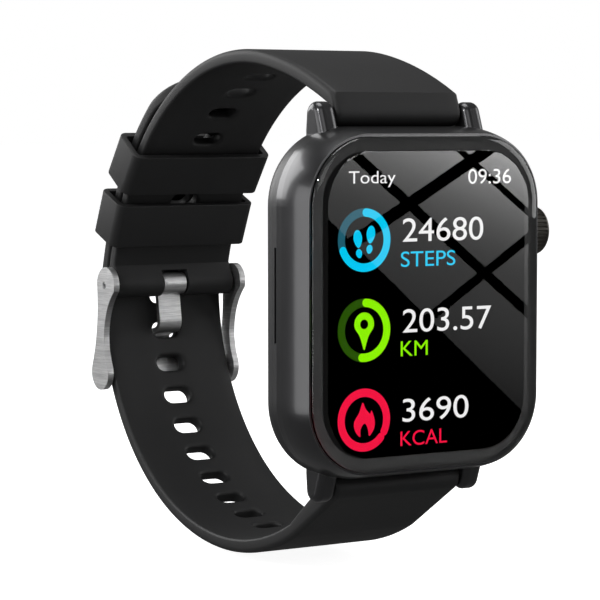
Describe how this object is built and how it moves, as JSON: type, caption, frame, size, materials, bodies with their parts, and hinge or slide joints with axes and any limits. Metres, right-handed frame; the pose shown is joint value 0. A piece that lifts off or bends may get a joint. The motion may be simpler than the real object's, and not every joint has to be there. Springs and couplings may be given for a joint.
{
  "type": "smartwatch",
  "caption": "Rounded rectangular smartwatch with a glass screen, side crown and a buckled silicone strap that closes round a wrist.",
  "frame": {"origin": "centre of the sensor window's flat, where the back of the case meets the wrist", "axes": "+X to 3 o'clock where the crown is, +Z to 12 o'clock, +Y from the case to the buckle; the screen faces -Y"},
  "size_m": [0.0399, 0.0706, 0.0684],
  "materials": {
    "frame_metal": "glossy dark grey",
    "shell_plastic": "matt black, moulded",
    "cover_glass": "polished, curved edge",
    "adhesive": "black gasket tape",
    "display": "black panel with a lit picture",
    "flex_amber": "amber flexible circuit",
    "seal_rubber": "soft seal",
    "screw_steel": "plain steel",
    "chassis_plastic": "moulded, matt",
    "battery_foil": "foil pouch",
    "circuit_board": "green solder mask",
    "chip_black": "moulded black",
    "motor_steel": "pressed steel can",
    "mesh_steel": "blackened mesh",
    "sensor_glass": "smoked window",
    "lamp_lens": "clear green lens",
    "contact_gold": "gold plated",
    "crown_metal": "dark knurled metal",
    "silicone": "matt black silicone",
    "bar_steel": "turned steel",
    "buckle_steel": "brushed, lengthwise grain"
  },
  "bodies": {
    "watch": {"front_glass": "cover_glass", "glass_adhesive": "adhesive", "display_panel": "display", "display_flex": "flex_amber", "front_frame": "frame_metal", "rear_shell": "shell_plastic", "rear_seal": "seal_rubber", "lug_12_left": "frame_metal", "lug_12_right": "frame_metal", "lug_6_left": "frame_metal", "lug_6_right": "frame_metal", "lug_screws": "screw_steel", "shell_screws": "screw_steel", "inner_chassis": "chassis_plastic", "battery": "battery_foil", "main_board": "circuit_board", "board_chips": "chip_black", "vibration_motor": "motor_steel", "microphone": "motor_steel", "speaker": "chip_black", "speaker_mesh": "mesh_steel", "sensor_window": "sensor_glass", "sensor_board": "circuit_board", "sensor_lamps": "lamp_lens", "charge_contacts": "contact_gold", "charge_magnets": "motor_steel", "crown_bushing": "contact_gold", "crown_switch": "chip_black", "strap_upper": "silicone", "strap_lower": "silicone", "spring_bar_12": "bar_steel", "spring_bar_6": "bar_steel", "buckle_bar": "bar_steel"},
    "crown_slider": {"crown_plunger": "screw_steel"},
    "crown": {"crown_cap": "crown_metal", "crown_stem": "screw_steel", "crown_ring": "seal_rubber"},
    "release_12": {"release_pin_12": "bar_steel"},
    "release_6": {"release_pin_6": "bar_steel"},
    "plain_12": {"plain_pin_12": "bar_steel"},
    "plain_6": {"plain_pin_6": "bar_steel"},
    "buckle_end_left": {"buckle_pin_left": "bar_steel"},
    "buckle_end_right": {"buckle_pin_right": "bar_steel"},
    "buckle": {"buckle_frame": "buckle_steel"},
    "tongue": {"buckle_tongue": "buckle_steel"},
    "loop_upper": {"keeper_upper": "silicone"},
    "loop_lower": {"keeper_lower": "silicone"}
  },
  "joints": [
    {"name": "crown_press", "type": "slide", "parent": "watch", "child": "crown_slider", "axis": [-1, 0, 0], "range_m": [0, 0.0004], "stiffness_N_per_m": 3000},
    {"name": "crown_turn", "type": "hinge", "parent": "crown_slider", "child": "crown", "pos_m": [0.0199, -0.0065, 0.0086], "axis": [1, 0, 0], "continuous": true},
    {"name": "release_pin_12_slide", "type": "slide", "parent": "watch", "child": "release_12", "axis": [1, 0, 0], "range_m": [0, 0.0012], "stiffness_N_per_m": 1500},
    {"name": "release_pin_6_slide", "type": "slide", "parent": "watch", "child": "release_6", "axis": [1, 0, 0], "range_m": [0, 0.0012], "stiffness_N_per_m": 1500},
    {"name": "plain_pin_12_slide", "type": "slide", "parent": "watch", "child": "plain_12", "axis": [-1, 0, 0], "range_m": [0, 0.0012], "stiffness_N_per_m": 1500},
    {"name": "plain_pin_6_slide", "type": "slide", "parent": "watch", "child": "plain_6", "axis": [-1, 0, 0], "range_m": [0, 0.0012], "stiffness_N_per_m": 1500},
    {"name": "buckle_pin_left_slide", "type": "slide", "parent": "watch", "child": "buckle_end_left", "axis": [1, 0, 0], "range_m": [0, 0.001], "stiffness_N_per_m": 1500},
    {"name": "buckle_pin_right_slide", "type": "slide", "parent": "watch", "child": "buckle_end_right", "axis": [-1, 0, 0], "range_m": [0, 0.001], "stiffness_N_per_m": 1500},
    {"name": "buckle_pivot", "type": "hinge", "parent": "watch", "child": "buckle", "pos_m": [0, 0.0538, -0.0009], "axis": [1, 0, 0], "range_deg": [0, 6]},
    {"name": "tongue_pivot", "type": "hinge", "parent": "watch", "child": "tongue", "pos_m": [0, 0.0538, -0.0009], "axis": [1, 0, 0], "range_deg": [0, 6]},
    {"name": "keeper_upper_slide", "type": "hinge", "parent": "watch", "child": "loop_upper", "pos_m": [0, 0.01157, -0.00912], "axis": [1, 0, 0], "range_deg": [-1.91, 4.46]},
    {"name": "keeper_lower_slide", "type": "hinge", "parent": "watch", "child": "loop_lower", "pos_m": [0, 0.01157, -0.00912], "axis": [1, 0, 0], "range_deg": [-3.18, 1.02]}
  ],
  "couplings": [
    {"joint": "tongue_pivot", "follows": "buckle_pivot", "ratio": 1}
  ]
}
